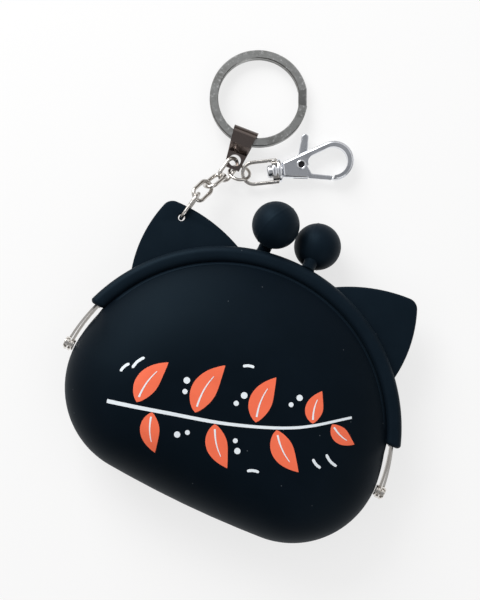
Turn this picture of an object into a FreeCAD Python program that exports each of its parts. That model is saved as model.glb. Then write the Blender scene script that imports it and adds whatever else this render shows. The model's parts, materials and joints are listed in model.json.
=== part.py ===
import FreeCAD, Part
import math
import os

# Kiss-lock coin purse of soft silicone with a chain, a split ring and a swivel clasp.
# X runs along the hinge line, Y up the face toward the clasp balls, Z out of the front.
# The purse lies on its flattened back.  The origin is on the resting face, straight
# below the middle of the hinge line.  Lengths are millimetres, angles are degrees.

Vector = FreeCAD.Vector

# Hems
hem_outer_radius = 54.0
hem_centre_drop = 3.0
hem_width = 4.8
hem_height = 5.2
hem_round = 2.0
hem_end_rise = 14.0

# Pouch, whose top edge seats in the hems
mouth_height = 12.0
front_rise = 17.0
pouch_side_inset = 4.3
pouch_seat = 0.3
pouch_half_width = hem_outer_radius - pouch_side_inset
pouch_top = hem_outer_radius - hem_centre_drop - hem_width + pouch_seat
pouch_depth = 28.5
pouch_wall = 1.8
mouth_corner_lift = 2.675
corner_round_share = 0.968
front_flat_half_width = 22.0
front_flat_top = 10.0
front_flat_depth = 9.0
front_corner_lift = 10.09
front_top_ease_share = 0.85
back_flat_half_width = 37.0
back_flat_top = 28.0
back_flat_depth = 19.0
back_corner_lift = 7.53
level_steps = 6
slit_start = 4.0
mouth_gap = 0.3
fold_radius = 20.4
fold_gap = 0.3
joint_clearance = 0.3

# Frame bars and hinges
bar_width = 2.4
bar_height = 2.4
bar_round = 0.25
leg_thickness = 0.7
leg_width = 1.8
leg_gap = 0.4
leg_root = 1.0
eye_radius = 2.1
rivet_radius = 0.9
rivet_clearance = 0.05
rivet_head_radius = 1.7
rivet_head_height = 0.5

# Clasp balls
ball_radius = 6.9
ball_spacing = 14.2
ball_pair_offset = -3.9
ball_stand = 7.4
ball_lean = 3.6
stem_radius = 2.1
stem_root = 1.2
knob_radius = 4.9
post_radius = 0.7
post_depth = 0.6

# Ears
ear_thickness = 2.8
ear_round = 1.0
ear_root = 4.0
ear_foot_outer_heading = 38.00
ear_side_radius = 40.0
ear_tip_heading = 54.91
ear_tip_stand = 11.75
ear_tip_radius = 3.4
ear_brow_radius = 49.0
ear_foot_inner_heading = 73.21
ear_turn = 3.0
ear_hole_heading = 126.22
ear_hole_stand = 9.46
ear_hole_radius = 1.7

# Chain
wire_radius = 0.62
ear_link_length = 7.8
ear_link_width = 3.5
ear_link_heading = 80.0
link_length = 6.3
link_width = 2.9
link_slack = 0.2
link_headings = (72.0, 68.0, 80.0)
link_dips = (34.0, 36.0, 6.0)
link_rolls = (-20.0, 50.0, -40.0)

# Split ring and its strap
ring_outer_radius = 15.0
ring_strip_width = 2.6
ring_strip_height = 1.4
ring_strip_chamfer = 0.3
ring_turn_gap = 0.06
ring_ramp_angle = 10.0
ring_ramp_heading = -68.0
strap_heading = 94.5
strap_dip = 5.6
strap_eye_slack = 0.35
strap_sheet = 0.5
strap_eye_width = 4.8
strap_fold_width = 7.8
strap_eye_radius = 1.85
strap_eye_edge = 0.9
strap_closed_length = 2.4
strap_open_start = 4.4
strap_fold_start = 7.9
strap_ring_room = 0.6
strap_ring_edge = 5.2

# Jump ring
jump_ring_radius = 3.2
jump_ring_wire = 0.5
jump_ring_offset = (3.48, 0.58, -0.76)
jump_ring_heading = 103.0
jump_ring_tilt = 44.2

# Swivel clasp, along its own axis from the loop to the hook
clasp_offset = (16.55, 9.58, -0.4)
clasp_heading = 31.9
loop_end = -18.7
loop_half_width = 3.9
loop_strip = 1.1
loop_depth = 1.5
loop_round = 0.4
collar_start = -9.0
collar_end = -7.3
collar_width = 6.5
collar_depth = 4.4
collar_round = 1.2
swivel_radius = 1.2
swivel_clearance = 0.06
swivel_play = 0.15
swivel_head_radius = 2.0
swivel_head_length = 1.5
neck_radius = 2.1
body_start = -5.9
body_half_depth = 2.1
body_round = 0.8
body_neck_half = 2.3
body_heel_x = 1.6
body_heel_y = -3.4
hook_x = 10.2
hook_y = 1.2
hook_radius = 6.0
hook_back_angle = 107.5
eye_big_x = 9.9
eye_big_y = 1.0
eye_big_radius = 4.4
eye_small_x = 4.4
eye_small_y = 1.3
eye_small_radius = 2.3
gate_mouth_y = 0.6
gate_slot_start = -2.8
gate_slot_end = 3.0
gate_slot_half = 1.0
gate_pivot_y = 0.9
gate_half = 0.8
gate_round = 0.3
gate_hub_radius = 2.0
gate_knee_x = 2.4
gate_knee_y = -2.7
gate_knee_radius = 0.75
gate_tip_x = 8.55
gate_tip_y = -3.95
gate_tip_radius = 0.7
gate_tip_gap = 0.2
thumb_x = 2.1
thumb_y = 9.2
thumb_root_radius = 1.5
thumb_tip_radius = 1.1
gate_rivet_radius = 0.95
gate_rivet_clearance = 0.05
gate_rivet_head_radius = 1.5
gate_rivet_head_height = 0.3
gate_rivet_dimple_radius = 0.6
gate_rivet_dimple_depth = 0.5
gate_spring_sheet = 0.2
gate_spring_half_length = 2.2
gate_spring_bow = 0.5
gate_spring_half = 0.8

cut_overrun = 5.0


def at_height(height):
    return Vector(0, 0, height)


def unit(vector):
    result = Vector(vector)
    result.normalize()
    return result


def placed(shape, origin, x_dir, z_dir):
    # A copy moved from the shape's own axes to the given place and directions.
    y_dir = z_dir.cross(x_dir)
    moved = shape.copy()
    moved.Placement = FreeCAD.Placement(origin, FreeCAD.Rotation(x_dir, y_dir, z_dir, "ZXY"))
    return moved


def slab(y_low, y_high, z_low, z_high):
    # A block across the whole width of the purse.
    reach = hem_outer_radius + cut_overrun
    return Part.makeBox(reach + reach, y_high - y_low, z_high - z_low, Vector(-reach, y_low, z_low))


def blend(start, end, share):
    return start + (end - start) * share


# Pouch

def outline(half_width, top, bottom, corner_lift, height):
    # Four tangent arcs: brow, right corner, bottom, left corner. A corner at no lift makes the
    # brow a half circle, and a higher one a flatter brow.
    corner_y = top - half_width + corner_lift
    corner_r = corner_round_share * (corner_y - bottom)
    corner_x = half_width - corner_r
    spread = corner_x ** 2 + corner_y ** 2
    top_y = ((top - corner_r) ** 2 - spread) / (top - corner_r - corner_y) / 2
    low_y = ((bottom + corner_r) ** 2 - spread) / (bottom + corner_r - corner_y) / 2
    corner = Vector(corner_x, corner_y, height)
    brow_end = corner + unit(corner - Vector(0, top_y, height)) * corner_r
    foot_end = corner + unit(corner - Vector(0, low_y, height)) * corner_r
    right = (brow_end, Vector(half_width, corner_y, height), foot_end)
    left = [Vector(-point.x, point.y, height) for point in reversed(right)]
    arcs = [
        Part.Arc(left[2], Vector(0, top, height), right[0]),
        Part.Arc(*right),
        Part.Arc(right[2], Vector(0, bottom, height), left[0]),
        Part.Arc(*left),
    ]
    return Part.Wire([arc.toShape() for arc in arcs])


def pouch_level(angle, inset):
    # The outline at one level: back below the mouth plane, front above it.
    draw = 1 - math.cos(angle)
    front = angle > 0
    rise = front_rise if front else mouth_height
    flat_half_width = front_flat_half_width if front else back_flat_half_width
    flat_top = front_flat_top if front else back_flat_top
    flat_depth = front_flat_depth if front else back_flat_depth
    flat_lift = front_corner_lift if front else back_corner_lift
    top_draw = draw ** front_top_ease_share if front else draw
    return outline(
        blend(pouch_half_width - inset, flat_half_width, draw),
        blend(pouch_top - inset, flat_top, top_draw),
        -blend(pouch_depth - inset, flat_depth, draw),
        blend(mouth_corner_lift, flat_lift, draw),
        mouth_height + (rise - inset) * math.sin(angle),
    )


def pouch_solid(inset):
    angles = [math.pi / 2 * step / level_steps for step in range(-level_steps, level_steps + 1)]
    return Part.makeLoft([pouch_level(angle, inset) for angle in angles], True, False)


def hinge_cylinder(radius):
    reach = hem_outer_radius + cut_overrun
    return Part.makeCylinder(radius, reach + reach, Vector(-reach, 0, mouth_height), Vector(1, 0, 0))


def upper_front(low):
    # The space above the mouth plane and the hinge line.
    return slab(0, pouch_top + cut_overrun, low, mouth_height + front_rise + cut_overrun)


def make_pouch(skin):
    swing = upper_front(mouth_height - mouth_gap / 2).cut(hinge_cylinder(fold_radius))
    slit = slab(slit_start, pouch_top + cut_overrun,
                mouth_height - mouth_gap / 2, mouth_height + mouth_gap / 2)
    body = skin.cut(swing).cut(slit).cut(hem_ring(-1)).cut(hem_room(joint_clearance))
    return largest(body)


def make_front_flap(skin):
    swing = upper_front(mouth_height + mouth_gap / 2).cut(hinge_cylinder(fold_radius + fold_gap))
    return largest(skin.common(swing).cut(hem_ring(1)))


def largest(shape):
    return max(shape.Solids, key=lambda solid: solid.Volume)


# Hems

def rounded_rectangle(width, height, radius, centre):
    # A face in the XZ plane.
    x_half = width / 2
    z_half = height / 2
    x_flat = x_half - radius
    z_flat = z_half - radius
    turn = radius * math.sqrt(1 / 2)
    edges = []
    for x_sign, z_sign in ((1, 1), (-1, 1), (-1, -1), (1, -1)):
        side = Vector(x_sign * x_half, 0, z_sign * z_flat)
        middle = Vector(x_sign * (x_flat + turn), 0, z_sign * (z_flat + turn))
        cap = Vector(x_sign * x_flat, 0, z_sign * z_half)
        ends = (side, middle, cap) if x_sign == z_sign else (cap, middle, side)
        edges.append([centre + point for point in ends])
    wire = []
    for index, points in enumerate(edges):
        wire.append(Part.Arc(*points).toShape())
        wire.append(Part.makeLine(points[2], edges[(index + 1) % len(edges)][0]))
    return Part.Face(Part.Wire(wire))


def arch(width, height, radius, end_rise, side):
    # A bar of rounded section bent round the mouth, on the front (1) or back (-1) side.
    centre_radius = hem_outer_radius - hem_width / 2
    level = mouth_height + side * (mouth_gap + hem_height) / 2
    face = rounded_rectangle(width, height, radius, Vector(centre_radius, -hem_centre_drop, level))
    ring = face.revolve(Vector(0, -hem_centre_drop, 0), Vector(0, 0, 1), 360)
    reach = hem_outer_radius + cut_overrun
    return ring.common(slab(end_rise, reach, -cut_overrun, mouth_height + front_rise))


def hem_ring(side):
    return arch(hem_width, hem_height, hem_round, hem_end_rise, side)


def hem_room(clearance):
    # The front hem with room round it, for pieces that it swings past.
    both = clearance + clearance
    return arch(hem_width + both, hem_height + both, hem_round + clearance,
                hem_end_rise - clearance, 1)


def hem_channel(side):
    return arch(bar_width, bar_height, bar_round, hem_end_rise - cut_overrun, side)


def ball_place(side):
    # Ball centre, foot of its post on the bar and the way from foot to ball.
    x = ball_pair_offset + side * ball_spacing / 2
    rise = hem_outer_radius - hem_centre_drop + ball_stand
    centre = Vector(x, rise, mouth_height - side * ball_lean)
    bar_radius = hem_outer_radius - hem_width / 2 + bar_width / 2
    foot_y = math.sqrt(bar_radius ** 2 - x ** 2) - hem_centre_drop
    foot = Vector(x, foot_y, mouth_height + side * (mouth_gap + hem_height) / 2)
    return centre, foot, unit(centre - foot)


def make_knob(side):
    centre, foot, way = ball_place(side)
    start = foot - way * post_depth
    post = Part.makeCylinder(post_radius, (centre - start).Length, start, way)
    return post.fuse(Part.makeSphere(knob_radius, centre)).removeSplitter()


def make_hem(side):
    centre, foot, way = ball_place(side)
    stem_start = foot + way * (stem_root - post_radius)
    stem = Part.makeCylinder(stem_radius, (centre - stem_start).Length, stem_start, way)
    hem = hem_ring(side).fuse([stem, Part.makeSphere(ball_radius, centre)])
    if side < 0:
        hem = hem.fuse([make_ear(1), make_ear(-1)])
    hem = hem.cut(hem_channel(side)).cut(make_legs(side)).cut(make_knob(side))
    return largest(hem.removeSplitter())


# Ears

def off_hem(heading, stand):
    # A point that stands off the hem's outer edge in one heading from the hem's centre.
    turn = math.radians(heading)
    reach = hem_outer_radius + stand
    return Vector(reach * math.cos(turn), reach * math.sin(turn) - hem_centre_drop, 0)


def ear_tip():
    return off_hem(ear_tip_heading, ear_tip_stand)


def ear_hole():
    return off_hem(ear_hole_heading, ear_hole_stand)


def ear_arc(foot, radius, turn):
    # From a root inside the hem, over the foot, to where it runs into the round of the tip.
    tip = ear_tip()
    way = unit(tip - foot)
    reach = (tip - foot).Length
    along = (radius ** 2 - (radius - ear_tip_radius) ** 2 + reach ** 2) / reach / 2
    aside = Vector(-way.y, way.x, 0) * (turn * math.sqrt(radius ** 2 - along ** 2))
    centre = foot + way * along + aside
    inward = unit(Vector(foot - centre).cross(Vector(0, 0, turn))) * ear_root
    root = centre + unit(foot + inward - centre) * radius
    end = centre + unit(tip - centre) * radius
    return Part.Arc(root, foot, end), root, end


def make_ear(side):
    side_arc, side_root, side_end = ear_arc(off_hem(ear_foot_outer_heading, 0), ear_side_radius, 1)
    brow_arc, brow_root, brow_end = ear_arc(off_hem(ear_foot_inner_heading, 0), ear_brow_radius, -1)
    tip = ear_tip()
    tip_top = tip + unit(side_end + brow_end - tip * 2) * ear_tip_radius
    edges = [
        side_arc.toShape(),
        Part.Arc(side_end, tip_top, brow_end).toShape(),
        brow_arc.toShape(),
        Part.makeLine(brow_root, side_root),
    ]
    plate = Part.Face(Part.Wire(Part.__sortEdges__(edges))).extrude(at_height(ear_thickness))
    plate.translate(at_height(mouth_height - ear_thickness / 2))
    plate = plate.makeFillet(ear_round, [edge for edge in plate.Edges if is_ear_rim(edge)])
    if side < 0:
        plate = plate.mirror(Vector(0, 0, 0), Vector(1, 0, 0))
    plate.rotate(Vector(0, -hem_centre_drop, 0), Vector(0, 0, 1), ear_turn)
    if side < 0:
        plate = plate.cut(Part.makeCylinder(ear_hole_radius, mouth_height + front_rise, ear_hole()))
    mouth = Part.makeCylinder(hem_outer_radius - hem_width / 2, mouth_height + front_rise,
                              Vector(0, -hem_centre_drop, 0))
    return plate.cut(mouth).cut(hem_room(joint_clearance))


def is_ear_rim(edge):
    # The level curved edges.
    return edge.BoundBox.ZLength < ear_thickness / 2 and edge.Curve.TypeId == "Part::GeomCircle"


# Frame bars and hinges

def leg_radius(side):
    # Inner face of a leg: the front leg lies inside the back leg.
    middle = hem_outer_radius - hem_width / 2
    return middle - leg_thickness - leg_gap / 2 if side > 0 else middle + leg_gap / 2


def make_legs(side):
    reach = hem_outer_radius + cut_overrun
    level = side * (mouth_gap + hem_height) / 2
    foot = Vector(-reach, 0, mouth_height)
    rise = Vector(0, hem_end_rise, level)
    way = unit(rise)
    head = foot + rise + way * leg_root
    across = Vector(0, -way.z, way.y) * (leg_width / 2)
    corners = [foot - across, head - across, head + across, foot + across]
    plate = Part.Face(Part.makePolygon(corners + corners[:1]))
    blank = plate.extrude(Vector(reach + reach, 0, 0)).fuse(hinge_cylinder(eye_radius))
    inner = leg_radius(side)
    axis_foot = Vector(0, -hem_centre_drop, 0)
    tall = mouth_height + front_rise
    sheet = Part.makeCylinder(inner + leg_thickness, tall, axis_foot)
    sheet = sheet.cut(Part.makeCylinder(inner, tall, axis_foot))
    return blank.common(sheet).cut(hinge_cylinder(rivet_radius + rivet_clearance))


def make_bar(side):
    # The bar's ends are square to its run.
    middle = hem_outer_radius - hem_width / 2
    level = mouth_height + side * (mouth_gap + hem_height) / 2
    start = math.degrees(math.asin((hem_end_rise + hem_centre_drop) / middle))
    axis_foot = Vector(0, -hem_centre_drop, 0)
    face = rounded_rectangle(bar_width, bar_height, bar_round, Vector(middle, -hem_centre_drop, level))
    face.rotate(axis_foot, Vector(0, 0, 1), start)
    return face.revolve(axis_foot, Vector(0, 0, 1), 180 - start - start)


def make_frame(side):
    bar = make_bar(side)
    return largest(bar.fuse(make_legs(side)).cut(make_knob(side)).removeSplitter())


def make_hinge_rivet(side):
    # Along X through the legs: inner head, shank and outer head.
    inner = math.sqrt(leg_radius(1) ** 2 - (hem_centre_drop + eye_radius) ** 2)
    outer = leg_radius(-1) + leg_thickness
    out = Vector(side, 0, 0)
    middle = at_height(mouth_height)
    shank = Part.makeCylinder(rivet_radius, outer - inner, middle + out * inner, out)
    heads = []
    for place, way in ((outer, out), (inner, -out)):
        head = Part.makeCylinder(rivet_head_radius, rivet_head_height, middle + out * place, way)
        heads.append(head.makeFillet(rivet_head_height / 2, [head.Edges[0]]))
    return shank.fuse(heads).removeSplitter()


# Chain

def make_link(length, width):
    # A closed wire loop in the XY plane, given by its inner length along X and width along Y.
    turn_radius = width / 2 + wire_radius
    straight = (length - width) / 2
    along = Vector(1, 0, 0)
    circle = Part.makeCircle(wire_radius, Vector(straight, -turn_radius, 0), along)
    section = Part.Face(Part.Wire(circle))
    bend = section.revolve(Vector(straight, 0, 0), Vector(0, 0, 1), 180)
    other = bend.copy()
    other.rotate(Vector(0, 0, 0), Vector(0, 0, 1), 180)
    sides = [
        Part.makeCylinder(wire_radius, straight + straight, Vector(-straight, sign * turn_radius, 0), along)
        for sign in (1, -1)
    ]
    return bend.fuse(sides + [other]).removeSplitter()


def link_axes(heading, dip, roll):
    # Long axis, side axis and normal of a link.
    turn = math.radians(heading)
    fall = math.radians(dip)
    lean = math.radians(roll)
    along = Vector(math.cos(fall) * math.cos(turn), math.cos(fall) * math.sin(turn), -math.sin(fall))
    right = Vector(math.sin(turn), -math.cos(turn), 0)
    above = right.cross(along)
    side = right * math.cos(lean) + above * math.sin(lean)
    return along, side, along.cross(side)


def in_plane(vector, normal):
    return unit(vector - normal * vector.dot(normal))


def chain_places():
    # Centre and axes of the ear link and the three links after it, each pulled tight
    # into the bend of the one before.
    axes = link_axes(ear_link_heading, 0, 90)
    start = ear_hole() + at_height(mouth_height)
    centre = start + axes[0] * (ear_link_length / 2 + wire_radius)
    places = [(centre, axes)]
    bend = centre + axes[0] * (ear_link_length - ear_link_width) / 2
    bend_radius = ear_link_width / 2
    for heading, dip, roll in zip(link_headings, link_dips, link_rolls):
        last_normal = axes[2]
        axes = link_axes(heading, dip, roll)
        pull = in_plane(axes[0], last_normal)
        touch = bend + pull * (bend_radius - link_slack)
        near_bend = touch + in_plane(pull, axes[2]) * (link_width / 2)
        straight = (link_length - link_width) / 2
        centre = near_bend + axes[0] * straight
        places.append((centre, axes))
        bend = centre + axes[0] * straight
        bend_radius = link_width / 2
    return places


def make_chain():
    names = ("ear_link", "chain_link_1", "chain_link_2", "chain_link_3")
    sizes = ((ear_link_length, ear_link_width),) + ((link_length, link_width),) * len(link_rolls)
    pieces = {}
    for name, size, (centre, axes) in zip(names, sizes, chain_places()):
        pieces[name] = placed(make_link(*size), centre, axes[0], axes[2])
    return pieces


# Split ring and strap

def strap_place():
    # Middle of the eye on the last link's bend, the strap's length axis and its normal.
    centre, (along, side, normal) = chain_places()[-1]
    eye = centre + along * (link_length / 2 + wire_radius - strap_eye_slack)
    axes = link_axes(strap_heading, strap_dip, 0)
    return eye, axes[0], axes[2] * -1


def strap_room():
    # Height inside the strap's fold.
    return ring_strip_height * 2 + ring_turn_gap + strap_ring_room


def make_strap():
    # The sheet's side view in the XZ plane, folded round the ring and closed at the eye.
    room = strap_room()
    bend = room / 2
    start = -strap_eye_radius - strap_eye_edge
    fold = Vector(strap_fold_start, 0, bend)
    under = [Vector(start, 0, -strap_sheet), Vector(strap_fold_start, 0, -strap_sheet)]
    over = [
        Vector(strap_fold_start, 0, room + strap_sheet),
        Vector(strap_open_start, 0, room + strap_sheet),
        Vector(strap_closed_length, 0, strap_sheet),
        Vector(start, 0, strap_sheet),
    ]
    outer = [
        Part.makeLine(*under),
        Part.Arc(under[1], fold + Vector(bend + strap_sheet, 0, 0), over[0]).toShape(),
        Part.makePolygon(over + [under[0]]),
    ]
    blank = Part.Face(Part.Wire(outer))
    inner = [
        Part.Arc(Vector(strap_fold_start, 0, 0), fold + Vector(bend, 0, 0),
                 Vector(strap_fold_start, 0, room)).toShape(),
        Part.makePolygon([
            Vector(strap_fold_start, 0, room),
            Vector(strap_open_start, 0, room),
            Vector(strap_closed_length, 0, 0),
            Vector(strap_fold_start, 0, 0),
        ]),
    ]
    sheet = blank.cut(Part.Face(Part.Wire(inner))).extrude(Vector(0, strap_fold_width, 0))
    sheet.translate(Vector(0, -strap_fold_width / 2, 0))
    end = strap_fold_start + bend + strap_sheet
    eye_half = strap_eye_width / 2
    fold_half = strap_fold_width / 2
    plan = Part.Face(Part.makePolygon([
        Vector(start, -eye_half, -cut_overrun),
        Vector(end, -fold_half, -cut_overrun),
        Vector(end, fold_half, -cut_overrun),
        Vector(start, eye_half, -cut_overrun),
        Vector(start, -eye_half, -cut_overrun),
    ])).extrude(at_height(room + cut_overrun + cut_overrun))
    eye = Part.makeCylinder(strap_eye_radius, cut_overrun + cut_overrun, at_height(-cut_overrun))
    strap = largest(sheet.common(plan).cut(eye))
    origin, along, normal = strap_place()
    return placed(strap, origin, along, normal)


def ring_place():
    eye, along, normal = strap_place()
    return eye + along * (strap_ring_edge + ring_outer_radius) + normal * (strap_room() / 2), along, normal


def strip_face(angle, level):
    # Section of the ring's strip at an angle round the ring.
    width_half = ring_strip_width / 2
    height_half = ring_strip_height / 2
    edge = ring_strip_chamfer
    corners = []
    for x_sign, z_sign in ((1, 1), (-1, 1), (-1, -1), (1, -1)):
        side = Vector(x_sign * width_half, 0, z_sign * (height_half - edge))
        cap = Vector(x_sign * (width_half - edge), 0, z_sign * height_half)
        corners += [side, cap] if x_sign == z_sign else [cap, side]
    middle = Vector(ring_outer_radius - width_half, 0, level)
    face = Part.makePolygon([middle + corner for corner in corners + corners[:1]])
    face.rotate(Vector(0, 0, 0), Vector(0, 0, 1), angle)
    return face


def make_split_ring():
    # Two flat turns joined by a ramp, with a cut end on each side of it.
    step = (ring_strip_height + ring_turn_gap) / 2
    sweep = 360 - ring_ramp_angle * 2
    low_end = ring_ramp_heading - ring_ramp_angle
    high_end = ring_ramp_heading + ring_ramp_angle
    turns = [
        Part.Face(strip_face(high_end, level)).revolve(Vector(0, 0, 0), Vector(0, 0, 1), sweep)
        for level in (-step, step)
    ]
    ramp = Part.makeLoft([strip_face(low_end, -step), strip_face(high_end, step)], True, True)
    ring = turns[0].fuse([ramp, turns[1]]).removeSplitter()
    centre, along, normal = ring_place()
    return placed(ring, centre, along, normal)


def jump_ring_place():
    # The ring hangs beside the last link.
    return chain_places()[-1][0] + Vector(*jump_ring_offset)


def make_jump_ring():
    along, side, normal = link_axes(jump_ring_heading, jump_ring_tilt, 0)
    ring = Part.makeTorus(jump_ring_radius, jump_ring_wire)
    return placed(ring, jump_ring_place(), along, normal)


# Swivel clasp

def clasp_place():
    # Where the gate's line meets the clasp's axis, from the jump ring.
    return jump_ring_place() + Vector(*clasp_offset)


def on_clasp(shape):
    # From the clasp's own axes to its place on the table.
    turn = math.radians(clasp_heading)
    return placed(shape, clasp_place(), Vector(math.cos(turn), math.sin(turn), 0), Vector(0, 0, 1))


def disc(x, y, radius, half):
    return Part.makeCylinder(radius, half + half, Vector(x, y, -half))


def taper(start, start_radius, end, end_radius, half):
    # Two discs and the straight sides that touch both.
    way = Vector(end[0] - start[0], end[1] - start[1], 0)
    lean = math.acos((start_radius - end_radius) / way.Length)
    base = math.atan2(way.y, way.x)
    corners = []
    for sign, order in ((1, 1), (-1, -1)):
        out = Vector(math.cos(base + sign * lean), math.sin(base + sign * lean), 0)
        pair = [Vector(*start, -half) + out * start_radius, Vector(*end, -half) + out * end_radius]
        corners += pair[::order]
    middle = Part.Face(Part.makePolygon(corners + corners[:1])).extrude(at_height(half + half))
    return middle.fuse([disc(*start, start_radius, half), disc(*end, end_radius, half)]).removeSplitter()


def rounded_rims(plate, radius):
    # A flat plate with the edges of both its faces rounded.
    return plate.makeFillet(radius, [edge for edge in plate.Edges if edge.BoundBox.ZLength < radius])


def make_swivel_loop():
    bend_x = loop_end + loop_half_width
    inner_half = loop_half_width - loop_strip
    half = loop_depth / 2
    length = collar_end - bend_x
    outer = Part.makeBox(length, loop_half_width * 2, loop_depth, Vector(bend_x, -loop_half_width, -half))
    outer = outer.fuse(disc(bend_x, 0, loop_half_width, half))
    inner = Part.makeBox(length, inner_half * 2, loop_depth, Vector(bend_x, -inner_half, -half))
    inner = inner.fuse(disc(bend_x, 0, inner_half, half))
    strip = outer.cut(inner).removeSplitter()
    strip = strip.makeFillet(loop_round, [edge for edge in strip.Edges if is_loop_rim(edge)])
    collar_length = collar_end - collar_start
    collar = Part.makeBox(collar_length, collar_width, collar_depth,
                          Vector(collar_start, -collar_width / 2, -collar_depth / 2))
    long_edges = [edge for edge in collar.Edges if edge.BoundBox.XLength > collar_length / 2]
    collar = collar.makeFillet(collar_round, long_edges)
    hole = Part.makeCylinder(swivel_radius + swivel_clearance, collar_length * 2,
                             Vector(collar_start - collar_length / 2, 0, 0), Vector(1, 0, 0))
    return on_clasp(strip.fuse(collar).cut(hole).removeSplitter())


def is_loop_rim(edge):
    # The level edges that run along the strip.
    box = edge.BoundBox
    return box.ZLength < loop_round and box.XLength > loop_strip


def make_clasp_hook():
    half = body_half_depth
    back = math.radians(hook_back_angle)
    plate = Part.Face(Part.makePolygon([
        Vector(body_start, -body_neck_half, -half),
        Vector(body_heel_x, body_heel_y, -half),
        Vector(hook_x, hook_y, -half),
        Vector(hook_x + hook_radius * math.cos(back), hook_y + hook_radius * math.sin(back), -half),
        Vector(body_start, body_neck_half, -half),
        Vector(body_start, -body_neck_half, -half),
    ])).extrude(at_height(half + half))
    body = plate.fuse(disc(hook_x, hook_y, hook_radius, half)).removeSplitter()
    body = rounded_rims(body, body_round)
    eye = taper((eye_big_x, eye_big_y), eye_big_radius,
                (eye_small_x, eye_small_y), eye_small_radius, half + half)
    body = body.cut(eye)
    # The hook's end follows the swing of the gate's tip.
    tip_reach = math.hypot(gate_tip_x, gate_tip_y - gate_pivot_y) + gate_tip_radius
    mouth = Part.makeBox(hook_x + hook_radius, hook_radius * 2, half * 4,
                         Vector(body_heel_x, gate_mouth_y - hook_radius * 2, -half * 2))
    mouth = mouth.common(disc(0, gate_pivot_y, tip_reach + gate_tip_gap, half + half))
    slot = Part.makeBox(gate_slot_end - gate_slot_start, hook_radius * 4, gate_slot_half * 2,
                        Vector(gate_slot_start, -hook_radius * 2, -gate_slot_half))
    pin = disc(0, gate_pivot_y, gate_rivet_radius, half + half)
    body = largest(body.cut(mouth)).cut(slot).cut(pin)
    along = Vector(1, 0, 0)
    shoulder = collar_end + swivel_play
    neck = Part.makeCylinder(neck_radius, body_start - shoulder, Vector(shoulder, 0, 0), along)
    head_end = collar_start - swivel_play
    post = Part.makeCylinder(swivel_radius, shoulder - head_end, Vector(head_end, 0, 0), along)
    head_start = Vector(head_end - swivel_head_length, 0, 0)
    head = Part.makeCylinder(swivel_head_radius, swivel_head_length, head_start, along)
    head = head.makeFillet(swivel_head_length / 2, [head.Edges[2]])
    return on_clasp(body.fuse([neck, post, head]).removeSplitter())


def make_clasp_gate():
    pivot = (0, gate_pivot_y)
    knee = (gate_knee_x, gate_knee_y)
    hub = disc(*pivot, gate_hub_radius, gate_half)
    arms = [
        taper(pivot, thumb_root_radius, (thumb_x, thumb_y), thumb_tip_radius, gate_half),
        taper(pivot, thumb_root_radius, knee, gate_knee_radius, gate_half),
        taper(knee, gate_knee_radius, (gate_tip_x, gate_tip_y), gate_tip_radius, gate_half),
    ]
    pin = disc(*pivot, gate_rivet_radius + gate_rivet_clearance, gate_half + gate_half)
    gate = rounded_rims(hub.fuse(arms).removeSplitter(), gate_round)
    return on_clasp(gate.cut(pin))


def make_gate_rivet():
    half = body_half_depth
    rivet = disc(0, gate_pivot_y, gate_rivet_radius, half)
    for foot in (half, -half - gate_rivet_head_height):
        head = Part.makeCylinder(gate_rivet_head_radius, gate_rivet_head_height,
                                 Vector(0, gate_pivot_y, foot))
        rivet = rivet.fuse(head)
    top = half + gate_rivet_head_height
    dimple = Part.makeCylinder(gate_rivet_dimple_radius, cut_overrun,
                               Vector(0, gate_pivot_y, top - gate_rivet_dimple_depth))
    return on_clasp(rivet.cut(dimple).removeSplitter())


def make_gate_spring():
    # A bowed leaf that stands with both ends on the back of the gate's slot.
    edges = []
    for sheet in (0, gate_spring_sheet):
        low = Vector(gate_slot_start, gate_pivot_y - gate_spring_half_length + sheet, -gate_spring_half)
        high = Vector(gate_slot_start, gate_pivot_y + gate_spring_half_length - sheet, -gate_spring_half)
        crown = Vector(gate_slot_start + gate_spring_bow - sheet, gate_pivot_y, -gate_spring_half)
        edges.append(Part.Arc(low, crown, high))
    outer, inner = edges
    low_end = Part.makeLine(outer.StartPoint, inner.StartPoint)
    high_end = Part.makeLine(inner.EndPoint, outer.EndPoint)
    wire = Part.Wire([low_end, inner.toShape(), high_end, outer.toShape()])
    return on_clasp(Part.Face(wire).extrude(at_height(gate_spring_half * 2)))


def export_all(pieces):
    os.makedirs("parts", exist_ok=True)
    for name, shape in pieces.items():
        shape.exportStep(os.path.join("parts", name + ".step"))


def main():
    skin = pouch_solid(0).cut(pouch_solid(pouch_wall))
    pieces = {
        "pouch": make_pouch(skin),
        "front_flap": make_front_flap(skin),
        "front_hem": make_hem(1),
        "back_hem": make_hem(-1),
        "front_frame": make_frame(1),
        "back_frame": make_frame(-1),
        "front_clasp_knob": make_knob(1),
        "back_clasp_knob": make_knob(-1),
        "hinge_rivet_right": make_hinge_rivet(1),
        "hinge_rivet_left": make_hinge_rivet(-1),
        "ring_strap": make_strap(),
        "split_ring": make_split_ring(),
        "jump_ring": make_jump_ring(),
        "swivel_loop": make_swivel_loop(),
        "clasp_hook": make_clasp_hook(),
        "clasp_gate": make_clasp_gate(),
        "gate_rivet": make_gate_rivet(),
        "gate_spring": make_gate_spring(),
    }
    pieces.update(make_chain())
    export_all(pieces)


main()
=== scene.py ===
"""Looks of a kiss-lock silicone coin purse with a chain, a split ring and a swivel clasp."""
import json
import logging
import math
from dataclasses import dataclass, field
from enum import Enum
from typing import Any, Callable, Sequence

import bpy
from mathutils import Matrix, Vector


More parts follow.
